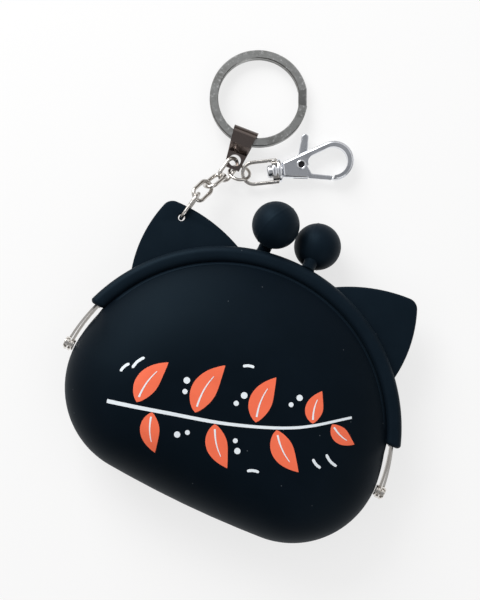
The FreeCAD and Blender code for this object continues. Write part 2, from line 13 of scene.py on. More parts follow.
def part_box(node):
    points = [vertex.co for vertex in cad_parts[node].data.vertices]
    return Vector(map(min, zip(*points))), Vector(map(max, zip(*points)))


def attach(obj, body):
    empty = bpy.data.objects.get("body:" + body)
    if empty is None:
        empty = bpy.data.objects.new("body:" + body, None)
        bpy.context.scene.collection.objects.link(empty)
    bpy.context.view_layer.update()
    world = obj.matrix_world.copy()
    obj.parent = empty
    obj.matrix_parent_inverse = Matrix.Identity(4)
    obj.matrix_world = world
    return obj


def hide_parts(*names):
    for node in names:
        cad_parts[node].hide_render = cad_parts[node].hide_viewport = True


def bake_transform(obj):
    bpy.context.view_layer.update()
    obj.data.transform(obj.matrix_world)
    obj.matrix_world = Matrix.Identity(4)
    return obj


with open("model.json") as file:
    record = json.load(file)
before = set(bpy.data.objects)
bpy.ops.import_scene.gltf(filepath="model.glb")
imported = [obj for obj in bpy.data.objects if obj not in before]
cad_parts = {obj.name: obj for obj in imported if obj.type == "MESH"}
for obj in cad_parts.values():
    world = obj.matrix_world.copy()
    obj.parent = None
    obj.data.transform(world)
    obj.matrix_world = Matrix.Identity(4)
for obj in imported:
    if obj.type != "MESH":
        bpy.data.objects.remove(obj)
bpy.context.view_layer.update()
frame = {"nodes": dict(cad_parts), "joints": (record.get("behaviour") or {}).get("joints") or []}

LOG = logging.getLogger("purse")
MM = 0.001
MERGE_DISTANCE = 0.002 * MM

# A face looks straight up or down when its normal's Z passes this.
FACES_OUT = 0.9

# Sizes that several pieces share, in millimetres: the height of the mouth's plane, how far the hem's
# centre lies below the hinge line, and the hem's outer radius.
MOUTH = 12.0
HEM_DROP = 3.0
HEM_OUTER = 54.0

# Sockets of a Mix node that mixes colours.
MIX_SHARE = 0
MIX_FIRST = 6
MIX_SECOND = 7
MIX_RESULT = 2

WHITE = (1.0, 1.0, 1.0)

Range = tuple[float, float]
Triple = tuple[float, float, float]
Colour = Triple
Piece = bpy.types.Object


class Side(Enum):
    """The two jaws of the purse: their sign along Z and the body that each rides on."""

    FRONT = 1
    BACK = -1

    @property
    def body(self) -> str:
        """Name of the body that the jaw belongs to."""
        return "front_jaw" if self is Side.FRONT else "purse"

    @property
    def word(self) -> str:
        """The jaw's name within piece names."""
        return self.name.lower()


def smooth(low: float, high: float, value: float) -> float:
    """Eases from 0 at low to 1 at high.

    Args:
        low: Value at which the result is 0.
        high: Value at which the result is 1.
        value: The value to ease.

    Returns:
        A number from 0 to 1.
    """
    share = min(max((value - low) / (high - low), 0.0), 1.0)
    return share * share * (3 - 2 * share)


def mix(start: float, end: float, share: float) -> float:
    """Goes from start to end by a share."""
    return start + (end - start) * share


class Bench:
    """The few modelling moves that all pieces share, made with Blender's own operators."""

    @staticmethod
    def focus(piece: Piece) -> None:
        """Makes one object the only selected and active one.

        Args:
            piece: The object.
        """
        bpy.ops.object.select_all(action="DESELECT")
        piece.select_set(True)
        bpy.context.view_layer.objects.active = piece

    @staticmethod
    def added(name: str) -> Piece:
        """Names the primitive that was just added.

        Args:
            name: Name of the object and of its mesh.

        Returns:
            The object.
        """
        piece = bpy.context.active_object
        piece.name = name
        piece.data.name = name
        return piece

    @staticmethod
    def clear() -> None:
        """Deselects everything before a primitive is added."""
        bpy.ops.object.select_all(action="DESELECT")

    @classmethod
    def edit(cls, piece: Piece, kind: str = "VERT") -> None:
        """Enters edit mode with everything selected.

        Args:
            piece: The mesh object.
            kind: VERT, EDGE or FACE.
        """
        cls.focus(piece)
        bpy.ops.object.mode_set(mode="EDIT")
        bpy.ops.mesh.select_mode(type=kind)
        bpy.ops.mesh.select_all(action="SELECT")

    @classmethod
    def pick(cls, piece: Piece, kind: str, test: Callable[[Any], bool]) -> None:
        """Enters edit mode with only those elements selected that pass a test.

        Args:
            piece: The mesh object.
            kind: VERT, EDGE or FACE.
            test: Says whether an element of the mesh is wanted.
        """
        cls.edit(piece, kind)
        bpy.ops.mesh.select_all(action="DESELECT")
        cls.done()
        mesh = piece.data
        items = {"VERT": mesh.vertices, "EDGE": mesh.edges, "FACE": mesh.polygons}[kind]
        for item in items:
            item.select = test(item)
        bpy.ops.object.mode_set(mode="EDIT")

    @staticmethod
    def done() -> None:
        """Leaves edit mode."""
        bpy.ops.object.mode_set(mode="OBJECT")

    @classmethod
    def modify(cls, piece: Piece, kind: str, **settings: Any) -> None:
        """Adds a modifier with its settings and applies it.

        Args:
            piece: The mesh object.
            kind: The modifier's type.
            settings: Values of the modifier's properties.
        """
        cls.focus(piece)
        modifier = piece.modifiers.new(kind.title(), kind)
        for key, value in settings.items():
            setattr(modifier, key, value)
        bpy.ops.object.modifier_apply(modifier=modifier.name)

    @classmethod
    def close(cls, piece: Piece) -> None:
        """Merges doubles and turns all faces outward.

        Args:
            piece: The mesh object.
        """
        cls.edit(piece)
        bpy.ops.mesh.remove_doubles(threshold=MERGE_DISTANCE)
        bpy.ops.mesh.normals_make_consistent(inside=False)
        cls.done()

    @classmethod
    def soften(cls, piece: Piece, degrees: float) -> None:
        """Shades the piece smooth except over edges sharper than an angle."""
        cls.focus(piece)
        bpy.ops.object.shade_smooth_by_angle(angle=math.radians(degrees))

    @classmethod
    def settle(cls, piece: Piece) -> None:
        """Moves the object's place into its mesh."""
        cls.focus(piece)
        bpy.ops.object.transform_apply(location=True, rotation=True, scale=True)

    @classmethod
    def combine(cls, piece: Piece, other: Piece, operation: str) -> None:
        """Fuses another closed mesh into a piece, or cuts it out, and removes it."""
        cls.modify(piece, "BOOLEAN", operation=operation, solver="EXACT", object=other)
        bpy.data.objects.remove(other)

    @classmethod
    def lay_on(cls, piece: Piece, skin: Piece, stand: float) -> None:
        """Drops a flat piece straight down on a skin.

        Args:
            piece: The flat mesh above the skin.
            skin: The skin that carries it.
            stand: Distance kept above the skin in metres.
        """
        cls.modify(piece, "SHRINKWRAP", target=skin, wrap_method="PROJECT", use_project_z=True,
                   use_negative_direction=True, use_positive_direction=False, offset=stand)

    @staticmethod
    def mesh(name: str, points: Sequence[Vector], faces: Sequence[Sequence[int]]) -> Piece:
        """Puts points and faces into a new object.

        Args:
            name: Name of the object.
            points: Corner places in metres.
            faces: Corner numbers of each face.

        Returns:
            The new object.
        """
        data = bpy.data.meshes.new(name)
        data.from_pydata([tuple(point) for point in points], [], [tuple(face) for face in faces])
        piece = bpy.data.objects.new(name, data)
        bpy.context.collection.objects.link(piece)
        return piece

    @staticmethod
    def dress(piece: Piece, material: bpy.types.Material, slot: str) -> None:
        """Gives a new piece its finish.

        Args:
            piece: The object.
            material: Its finish.
            slot: The material slot in the record; not used.
        """
        piece.data.materials.clear()
        piece.data.materials.append(material)
        LOG.info("%s: %d faces, %s", piece.name, len(piece.data.polygons), material.name)


@dataclass(frozen=True)
class Blotch:
    """One noise: size of a blotch in metres, number and weight of its finer layers, and its stretch."""

    size: float
    detail: float
    rough: float
    stretch: Triple = (1.0, 1.0, 1.0)


@dataclass(frozen=True)
class Relief:
    """One bump: its full height in metres and the share of it that shows."""

    height: float
    strength: float


class Sock:
    """An output socket that takes part in sums; each operation adds a Math node."""

    def __init__(self, nodes: "Nodes", socket: bpy.types.NodeSocket) -> None:
        """Wraps a socket of a node tree."""
        self.nodes = nodes
        self.socket = socket

    def math(self, operation: str, *others: Any) -> "Sock":
        """Adds a Math node with this socket as its first value."""
        values = dict(enumerate((self, *others)))
        return self.nodes.node("ShaderNodeMath", {"operation": operation}, values).out()

    def __add__(self, other: Any) -> "Sock":
        """This plus other."""
        return self.math("ADD", other)

    __radd__ = __add__

    def __rsub__(self, other: float) -> "Sock":
        """Other minus this."""
        return (self * -1.0) + other

    def __mul__(self, other: Any) -> "Sock":
        """This times other."""
        return self.math("MULTIPLY", other)

    __rmul__ = __mul__

    def above(self, limit: float) -> "Sock":
        """1 where this passes a limit, else 0."""
        return self.math("GREATER_THAN", limit)

    def ramp(self, low: float, high: float) -> "Sock":
        """Maps low to 0 and high to 1, smoothly and clamped."""
        settings = {"interpolation_type": "SMOOTHSTEP"}
        return self.nodes.node("ShaderNodeMapRange", settings, {0: self, 1: low, 2: high}).out()


class Made:
    """A node that was just made."""

    def __init__(self, nodes: "Nodes", node: bpy.types.Node) -> None:
        """Keeps the node with its tree."""
        self.nodes = nodes
        self.node = node

    def out(self, name: str | int = 0) -> Sock:
        """One of the node's outputs by name or number."""
        return Sock(self.nodes, self.node.outputs[name])


class Nodes:
    """A node tree under construction."""

    def __init__(self, tree: bpy.types.NodeTree) -> None:
        """Starts with an empty tree."""
        self.tree = tree
        tree.nodes.clear()

    def node(self, kind: str, settings: dict[str, Any] | None = None,
             inputs: dict[str | int, Any] | None = None) -> Made:
        """Adds one node.

        Args:
            kind: The node's type.
            settings: Properties set before its sockets; stops are a ramp's places and colours.
            inputs: Values or links by socket name or number.

        Returns:
            The node.
        """
        node = self.tree.nodes.new(kind)
        for key, value in (settings or {}).items():
            if key == "stops":
                self.stops(node.color_ramp, value)
            else:
                setattr(node, key, value)
        for key, value in (inputs or {}).items():
            if isinstance(value, Sock):
                self.tree.links.new(value.socket, node.inputs[key])
            else:
                node.inputs[key].default_value = value
        return Made(self, node)

    @staticmethod
    def stops(ramp: bpy.types.ColorRamp, places: Sequence[tuple[float, Colour]]) -> None:
        """Sets a ramp's stops.

        Args:
            ramp: The ramp of a node.
            places: Triple and colour of each stop.
        """
        while len(ramp.elements) < len(places):
            ramp.elements.new(1.0)
        for element, (place, colour) in zip(ramp.elements, places):
            element.position = place
            element.color = (*colour, 1.0)

    def place(self) -> Sock:
        """Object coordinates of the piece."""
        return self.node("ShaderNodeTexCoord").out("Object")

    def noise(self, blotch: Blotch) -> Sock:
        """Noise over the piece.

        Args:
            blotch: Its size and layers.

        Returns:
            The noise, from 0 to 1.
        """
        spread = self.node("ShaderNodeMapping", {"vector_type": "POINT"},
                           {"Vector": self.place(), "Scale": blotch.stretch}).out()
        values = {"Vector": spread, "Scale": 1.0 / blotch.size, "Detail": blotch.detail,
                  "Roughness": blotch.rough}
        return self.node("ShaderNodeTexNoise", {}, values).out("Fac")

    def colours(self, first: Any, second: Any, share: Sock) -> Sock:
        """Mixes two colours by a share.

        Args:
            first: Colour or link where the share is 0.
            second: Colour or link where the share is 1.
            share: The share.

        Returns:
            The mixed colour.
        """
        settings = {"data_type": "RGBA", "clamp_factor": True}
        values = {MIX_SHARE: share, MIX_FIRST: self.full(first), MIX_SECOND: self.full(second)}
        return self.node("ShaderNodeMix", settings, values).out(MIX_RESULT)

    @staticmethod
    def full(colour: Any) -> Any:
        """A colour with its alpha, or a link as it is."""
        return colour if isinstance(colour, Sock) else (*colour, 1.0)

    def bump(self, pattern: Sock, relief: Relief, under: Sock | None = None) -> Sock:
        """A bump that feeds Normal, over another if one is given.

        Args:
            pattern: The bump's pattern, from 0 to 1.
            relief: Its height and strength.
            under: The bump beneath it.

        Returns:
            The bent normal.
        """
        values: dict[str | int, Any] = {"Height": pattern, "Distance": relief.height,
                                        "Strength": relief.strength}
        if under is not None:
            values["Normal"] = under
        return self.node("ShaderNodeBump", {}, values).out()

    def surface(self, **inputs: Any) -> None:
        """Ends the tree with a Principled shader.

        Args:
            inputs: Values or links by socket name, with _ for a space.
        """
        values = {key.replace("_", " "): value for key, value in inputs.items()}
        shader = self.node("ShaderNodeBsdfPrincipled", {}, values).out()
        self.node("ShaderNodeOutputMaterial", {}, {"Surface": shader})


def new_material(name: str) -> tuple[bpy.types.Material, Nodes]:
    """Makes an empty node material.

    Args:
        name: The material's name.

    Returns:
        The material and its tree.
    """
    material = bpy.data.materials.new(name)
    material.use_nodes = True
    return material, Nodes(material.node_tree)


@dataclass(frozen=True)
class SiliconeFinish:
    """Soft matte silicone with a fine skin, uneven bloom and a little clinging dust."""

    name: str
    deep: Colour
    bloom: Colour
    roughness: float = 0.50
    cloud: Blotch = Blotch(0.035, 4.0, 0.6)
    cloud_rough: float = 0.08
    haze: Blotch = Blotch(0.006, 3.0, 0.6)
    haze_share: float = 0.3
    haze_rough: float = 0.06
    bloom_range: Range = (0.35, 0.7)
    dust: Colour = (0.10, 0.115, 0.13)
    dust_density: float = 300.0
    dust_radius: Range = (0.03, 0.06)
    dust_luck: float = 0.78
    dust_cover: float = 0.8
    dust_rough: float = 0.2
    grain: Blotch = Blotch(0.00035, 2.0, 0.5)
    grain_relief: Relief = Relief(0.05 * MM, 0.25)
    waves: Blotch = Blotch(0.02, 2.0, 0.4)
    wave_relief: Relief = Relief(0.3 * MM, 0.12)
    gloss: float = 0.12
    gloss_tint: Colour = (0.45, 0.75, 1.0)
    sheen: float = 0.02
    sheen_roughness: float = 0.5
    sheen_tint: Colour = (0.5, 0.8, 1.0)

    def material(self) -> bpy.types.Material:
        """Builds the material.

        Returns:
            The material.
        """
        material, nodes = new_material(self.name)
        cloud = nodes.noise(self.cloud)
        haze = nodes.noise(self.haze)
        uneven = cloud * (1.0 - self.haze_share) + haze * self.haze_share
        base = nodes.colours(self.deep, self.bloom, uneven.ramp(*self.bloom_range))
        flecks = nodes.node("ShaderNodeTexVoronoi", {"feature": "F1"},
                            {"Vector": nodes.place(), "Scale": self.dust_density, "Randomness": 1.0})
        luck = nodes.node("ShaderNodeSeparateColor", {}, {0: flecks.out("Color")}).out(0)
        specks = (1.0 - flecks.out("Distance").ramp(*self.dust_radius)) * luck.above(self.dust_luck)
        colour = nodes.colours(base, self.dust, specks * self.dust_cover)
        rough = (self.roughness + cloud * self.cloud_rough + haze * self.haze_rough
                 + specks * self.dust_rough)
        grain = nodes.noise(self.grain)
        waves = nodes.bump(nodes.noise(self.waves), self.wave_relief)
        skin = nodes.bump(grain, self.grain_relief, waves)
        nodes.surface(Base_Color=colour, Roughness=rough, Normal=skin, Specular_IOR_Level=self.gloss,
                      Specular_Tint=(*self.gloss_tint, 1.0), Sheen_Weight=self.sheen,
                      Sheen_Roughness=self.sheen_roughness, Sheen_Tint=(*self.sheen_tint, 1.0))
        return material


@dataclass(frozen=True)
class PlateFinish:
    """Plated or bare metal with fine scratches, a little tarnish and rubbed spots."""

    name: str
    bright: Colour
    dull: Colour
    roughness: float
    scratch: float = 0.2
    tarnish: Blotch = Blotch(0.007, 4.0, 0.6)
    tarnish_range: Range = (0.42, 0.75)
    tarnish_rough: float = 0.10
    fleck: float = 0.0
    flecks: Blotch = Blotch(0.0011, 4.0, 0.75)
    fleck_range: Range = (0.53, 0.70)
    rubbed: Colour = (0.86, 0.87, 0.88)
    pores: Blotch = Blotch(0.0004, 2.0, 0.6)
    pore_relief: Relief = Relief(0.02 * MM, 0.08)
    lines: Blotch = Blotch(0.0008, 3.0, 0.7, (1.0, 9.0, 3.0))
    line_range: Range = (0.55, 0.75)
    line_height: float = 0.02 * MM
    line_rough: float = 0.5

    def material(self) -> bpy.types.Material:
        """Builds the material.

        Returns:
            The material.
        """
        material, nodes = new_material(self.name)
        cloud = nodes.noise(self.tarnish)
        lines = nodes.noise(self.lines)
        colour = nodes.colours(self.bright, self.dull, cloud.ramp(*self.tarnish_range))
        worn = nodes.noise(self.flecks).ramp(*self.fleck_range) * self.fleck
        colour = nodes.colours(colour, self.rubbed, worn)
        scored = lines.ramp(*self.line_range) * (self.scratch * self.line_rough)
        rough = self.roughness + cloud * self.tarnish_rough + scored
        pores = nodes.bump(nodes.noise(self.pores), self.pore_relief)
        marks = nodes.bump(lines, Relief(self.line_height, self.scratch), pores)
        nodes.surface(Base_Color=colour, Metallic=1.0, Roughness=rough, Normal=marks)
        return material


@dataclass(frozen=True)
class InkFinish:
    """Printed ink on the silicone, a little uneven and dusty."""

    name: str
    full: Colour
    thin: Colour
    roughness: float = 0.55
    cloud: Blotch = Blotch(0.008, 3.0, 0.6)
    grain: Blotch = Blotch(0.0003, 2.0, 0.5)
    grain_share: float = 0.2
    grain_rough: float = 0.1
    grain_relief: Relief = Relief(0.03 * MM, 0.2)
    thin_range: Range = (0.4, 0.8)
    gloss: float = 0.35

    def material(self) -> bpy.types.Material:
        """Builds the material.

        Returns:
            The material.
        """
        material, nodes = new_material(self.name)
        grain = nodes.noise(self.grain)
        uneven = nodes.noise(self.cloud) * (1.0 - self.grain_share) + grain * self.grain_share
        colour = nodes.colours(self.full, self.thin, uneven.ramp(*self.thin_range))
        rough = self.roughness + grain * self.grain_rough
        film = nodes.bump(grain, self.grain_relief)
        nodes.surface(Base_Color=colour, Roughness=rough, Normal=film, Specular_IOR_Level=self.gloss)
        return material


@dataclass
class Finishes:
    """All finishes of the purse."""

    skin: SiliconeFinish = SiliconeFinish("black_silicone", (0.0006, 0.0019, 0.0042),
                                          (0.0013, 0.0031, 0.0064))
    # The rim finish is the skin's silicone painted lighter: the raised hem, balls, ears and seam lip
    # get a lighter copy of it for the light that they catch.
    rim: SiliconeFinish = SiliconeFinish("black_silicone_painted_lighter", (0.0028, 0.0060, 0.0105),
                                         (0.0042, 0.0084, 0.0140), roughness=0.46)
    nickel: PlateFinish = PlateFinish("bright_nickel", (0.80, 0.77, 0.73), (0.70, 0.655, 0.60), 0.13)
    cool: PlateFinish = PlateFinish("cool_nickel", (0.88, 0.90, 0.945), (0.60, 0.62, 0.66), 0.15,
                                    fleck=0.25)
    aged: PlateFinish = PlateFinish("aged_nickel", (0.70, 0.675, 0.645), (0.40, 0.375, 0.35), 0.13,
                                    tarnish=Blotch(0.0035, 4.0, 0.6))
    satin: PlateFinish = PlateFinish("satin_steel", (0.33, 0.335, 0.33), (0.22, 0.222, 0.215), 0.26,
                                     scratch=0.35, tarnish=Blotch(0.005, 4.0, 0.6), fleck=0.55)
    # The strap is nickel; its base colour is painted dark and brown for the dark brown surroundings
    # that it reflects.
    painted_reflection: PlateFinish = PlateFinish("nickel_painted_dark_reflection", (0.155, 0.128, 0.118), (0.105, 0.086, 0.08), 0.14)
    # Dark disc in each rivet's middle: painted shade where the rivet's hollow is.
    painted_shade: PlateFinish = PlateFinish("painted_rivet_shade", (0.03, 0.03, 0.034), (0.02, 0.019, 0.018), 0.4)
    coral: InkFinish = InkFinish("coral_ink", (0.93, 0.165, 0.075), (0.86, 0.14, 0.062))
    white: InkFinish = InkFinish("white_ink", (0.82, 0.88, 0.93), (0.74, 0.80, 0.86))
    made: dict[str, bpy.types.Material] = field(default_factory=dict)

    def get(self, finish: Any) -> bpy.types.Material:
        """The material of a finish, built once.

        Args:
            finish: One of the finishes.

        Returns:
            Its material.
        """
        if finish.name not in self.made:
            self.made[finish.name] = finish.material()
        return self.made[finish.name]


@dataclass
class PouchSkin:
    """The moulded skin of one side of the pouch, drawn level by level from its rim to its flat.

    Lengths are millimetres.
    """

    side: Side
    rise: float
    flat: tuple[float, float, float, float]
    ease: float = 1.0
    half_width: float = 49.7
    top: float = 46.5
    depth: float = 28.5
    corner_lift: float = 2.675
    corner_share: float = 0.968
    mouth: float = MOUTH
    wall: float = 1.7
    hem_radius: float = 49.7
    hem_drop: float = HEM_DROP
    hem_join: float = 3.6
    hem_rise: Range = (8.0, 15.0)
    hem_fade: float = 36.0
    dome_share: float = 0.82
    crown: float = 0.25
    pole: float = 1e-4
    around: int = 224
    rings: int = 88

    def edge(self, half_width: float, top: float, bottom: float, lift: float,
             turn: float) -> tuple[float, float]:
        """A point of an outline of four tangent arcs, found by the way its normal points.

        Args:
            half_width: Half of the outline's width.
            top: Its highest y.
            bottom: Its lowest y.
            lift: Height of the corners above the place that makes the brow a half circle.
            turn: Direction of the normal in radians.

        Returns:
            The point's x and y.
        """
        corner_y = top - half_width + lift
        radius = self.corner_share * (corner_y - bottom)
        corner_x = half_width - radius
        spread = corner_x ** 2 + corner_y ** 2
        high = ((top - radius) ** 2 - spread) / (top - radius - corner_y) / 2
        low = ((bottom + radius) ** 2 - spread) / (bottom + radius - corner_y) / 2
        across, up = math.cos(turn), math.sin(turn)
        lean = math.atan2(up, abs(across))
        if lean > math.atan2(corner_y - high, corner_x):
            return (top - high) * across, high + (top - high) * up
        if lean < math.atan2(corner_y - low, corner_x):
            return (low - bottom) * across, low + (low - bottom) * up
        return math.copysign(corner_x, across) + radius * across, corner_y + radius * up

    def level(self, angle: float, turn: float) -> Vector:
        """A point on the dome at one level.

        Args:
            angle: 0 at the rim and a right angle at the flat, in radians.
            turn: Way that the outline faces there, in radians.

        Returns:
            The point in millimetres.
        """
        draw = 1 - math.cos(angle)
        flat_half, flat_top, flat_depth, flat_lift = self.flat
        x, y = self.edge(mix(self.half_width, flat_half, draw),
                         mix(self.top, flat_top, draw ** self.ease),
                         -mix(self.depth, flat_depth, draw),
                         mix(self.corner_lift, flat_lift, draw), turn)
        return Vector((x, y, self.mouth + self.side.value * self.rise * math.sin(angle)))

    def point(self, turn: float, share: float) -> Vector:
        """A point of the skin.

        Args:
            turn: Way that the outline faces there, in radians.
            share: 0 at the rim and 1 at the middle of the flat.

        Returns:
            The point in millimetres.
        """
        if share > self.dome_share:
            inner = max((1 - share) / (1 - self.dome_share), self.pole)
            flat_half, flat_top, flat_depth, flat_lift = self.flat
            middle = (flat_top - flat_depth) / 2
            reach = (flat_top + flat_depth) / 2 * inner
            x, y = self.edge(flat_half * inner, middle + reach, middle - reach, flat_lift * inner, turn)
            lift = self.crown * (1 - inner * inner) if self.side is Side.FRONT else 0.0
            return Vector((x, y, self.mouth + self.side.value * (self.rise + lift)))
        rim = self.level(0.0, turn)
        hemmed = smooth(*self.hem_rise, rim.y)
        start = hemmed * math.asin(self.hem_join / self.rise)
        angle = mix(start, math.pi / 2, share / self.dome_share)
        place = self.level(angle, turn)
        if hemmed:
            join = self.level(start, turn)
            out = Vector((join.x, join.y + self.hem_drop, 0.0)).normalized() * self.hem_radius
            pull = Vector((out.x, out.y - self.hem_drop, join.z)) - join
            fade = smooth(0.0, math.radians(self.hem_fade), angle - start)
            place += pull * (hemmed * (1 - fade))
        return place

    def build(self) -> Piece:
        """Models the skin as a closed wall.

        Returns:
            The skin's object.
        """
        Bench.clear()
        bpy.ops.mesh.primitive_uv_sphere_add(segments=self.around, ring_count=self.rings, radius=1.0)
        skin = Bench.added(f"{self.side.word}_skin")
        Bench.pick(skin, "VERT", lambda vertex: vertex.co.z * self.side.value < -self.pole)
        bpy.ops.mesh.delete(type="VERT")
        Bench.done()
        for vertex in skin.data.vertices:
            turn = math.atan2(vertex.co.y, vertex.co.x)
            share = math.asin(min(abs(vertex.co.z), 1.0)) / (math.pi / 2)
            vertex.co = self.point(turn, share) * MM
        Bench.close(skin)
        Bench.modify(skin, "SOLIDIFY", thickness=self.wall * MM, offset=-1.0, use_even_offset=True,
                     use_rim=True)
        Bench.soften(skin, degrees=50.0)
        return skin


@dataclass
class Hem:
    """The thick rolled hem of one jaw, which holds the frame bar. Lengths are millimetres."""

    side: Side
    outer: float = HEM_OUTER
    width: float = 4.8
    height: float = 5.2
    corner: float = 2.0
    gap: float = 0.3
    drop: float = HEM_DROP
    end_rise: float = 14.0
    end_spare: float = 4.0
    mouth: float = MOUTH
    end_round: float = 1.2
    end_steps: int = 6
    section_turns: int = 9
    steps: int = 150

    def section(self) -> list[Vector]:
        """Points of the hem's rounded section in the XZ plane.

        Returns:
            The points in millimetres.
        """
        centre_x = self.outer - self.width / 2
        centre_z = self.mouth + self.side.value * (self.gap + self.height) / 2
        points = []
        for quarter in range(4):
            for step in range(self.section_turns):
                turn = math.pi / 2 * (quarter + step / (self.section_turns - 1))
                x_sign = 1 if quarter in (0, 3) else -1
                z_sign = 1 if quarter in (0, 1) else -1
                x = centre_x + x_sign * (self.width / 2 - self.corner) + self.corner * math.cos(turn)
                z = centre_z + z_sign * (self.height / 2 - self.corner) + self.corner * math.sin(turn)
                points.append(Vector((x, 0.0, z)))
        return points

    def build(self) -> Piece:
        """Spins the section round the mouth and cuts its ends level.

        Returns:
            The hem's object.
        """
        points = self.section()
        Bench.clear()
        bpy.ops.mesh.primitive_circle_add(vertices=len(points), radius=1.0)
        hem = Bench.added(f"{self.side.word}_hem_band")
        start = math.asin((self.end_rise + self.drop) / self.outer) - math.radians(self.end_spare)
        turned = Matrix.Rotation(start, 4, "Z")
        for vertex, point in zip(hem.data.vertices, points):
            vertex.co = (turned @ point + Vector((0, -self.drop, 0))) * MM
        Bench.edit(hem)
        bpy.ops.mesh.spin(steps=self.steps, angle=2 * start - math.pi,
                          center=(0, -self.drop * MM, 0), axis=(0, 0, 1))
        bpy.ops.mesh.select_all(action="SELECT")
        bpy.ops.mesh.bisect(plane_co=(0, (self.end_rise + self.end_round) * MM, 0), plane_no=(0, 1, 0),
                            use_fill=True, clear_inner=True)
        Bench.done()
        Bench.close(hem)
        Bench.pick(hem, "FACE", lambda face: len(face.vertices) > self.section_turns)
        turns = [math.pi / 2 * step / self.end_steps for step in range(self.end_steps + 1)]
        for turn, after in zip(turns, turns[1:]):
            bpy.ops.mesh.inset(thickness=self.end_round * (math.cos(turn) - math.cos(after)) * MM,
                               depth=self.end_round * (math.sin(after) - math.sin(turn)) * MM)
        Bench.done()
        Bench.soften(hem, degrees=40.0)
        return hem


@dataclass
class ClaspBall:
    """One silicone ball of the kiss lock on its stem. Lengths are millimetres."""

    side: Side
    radius: float = 7.1
    spacing: float = 14.2
    offset: float = -3.9
    rise: float = 58.4
    lean: float = 3.6
    mouth: float = MOUTH
    stem_radius: float = 2.0
    stem_flare: float = 0.7
    flare_power: int = 4
    stem_share: float = 0.8
    stem_sides: int = 48
    stem_cuts: int = 11
    ridge: float = 0.10
    ridge_half: float = 0.16
    ridge_axis: Triple = (0.85, 0.35, 0.28)
    bar_outer: float = 52.8
    hem_level: float = 2.75
    drop: float = HEM_DROP
    around: int = 96
    rings: int = 64

    def centre(self) -> Vector:
        """Middle of the ball in millimetres."""
        x = self.offset + self.side.value * self.spacing / 2
        return Vector((x, self.rise, self.mouth - self.side.value * self.lean))

    def foot(self) -> Vector:
        """Foot of the stem in the hem.

        Returns:
            The place in millimetres.
        """
        x = self.centre().x
        y = math.sqrt(self.bar_outer ** 2 - x * x) - self.drop
        return Vector((x, y, self.mouth + self.side.value * self.hem_level))

    def build(self) -> Piece:
        """Models the ball with its mould line and sets it on its stem.

        Returns:
            The ball's object.
        """
        Bench.clear()
        bpy.ops.mesh.primitive_uv_sphere_add(segments=self.around, ring_count=self.rings,
                                             radius=self.radius * MM)
        ball = Bench.added(f"{self.side.word}_clasp_ball")
        for vertex in ball.data.vertices:
            off = abs(vertex.co.z) / MM
            vertex.co *= 1 + self.ridge / self.radius * (1 - smooth(0.0, self.ridge_half * 2, off))
        across, along, up = self.ridge_axis
        self.turn_to(ball, Vector((across, along * self.side.value, up)), self.centre())
        Bench.combine(ball, self.build_stem(), "UNION")
        Bench.close(ball)
        Bench.soften(ball, degrees=45.0)
        return ball

    def build_stem(self) -> Piece:
        """Models the stem, flared at both ends.

        Returns:
            The stem's object.
        """
        way = self.centre() - self.foot()
        reach = way.length - self.radius * self.stem_share
        Bench.clear()
        bpy.ops.mesh.primitive_cylinder_add(vertices=self.stem_sides, radius=self.stem_radius * MM,
                                            depth=reach * MM)
        stem = Bench.added("stem")
        mesh = stem.data
        Bench.pick(stem, "EDGE", lambda edge: abs(mesh.vertices[edge.vertices[0]].co.z
                                                  - mesh.vertices[edge.vertices[1]].co.z) > MM)
        bpy.ops.mesh.subdivide(number_cuts=self.stem_cuts)
        Bench.done()
        for vertex in stem.data.vertices:
            ends = abs(vertex.co.z) / (reach * MM / 2)
            flare = 1 + self.stem_flare / self.stem_radius * ends ** self.flare_power
            vertex.co.x *= flare
            vertex.co.y *= flare
        self.turn_to(stem, way, self.foot() + way.normalized() * reach / 2)
        return stem

    @staticmethod
    def turn_to(piece: Piece, way: Vector, place: Vector) -> None:
        """Points an upright piece along a way and sets it down.

        Args:
            piece: The object, upright at the origin.
            way: Where its Z axis has to point.
            place: Its place in millimetres.
        """
        turn = way.to_track_quat("Z", "Y").to_matrix().to_4x4()
        piece.matrix_world = Matrix.Translation(place * MM) @ turn
        Bench.settle(piece)


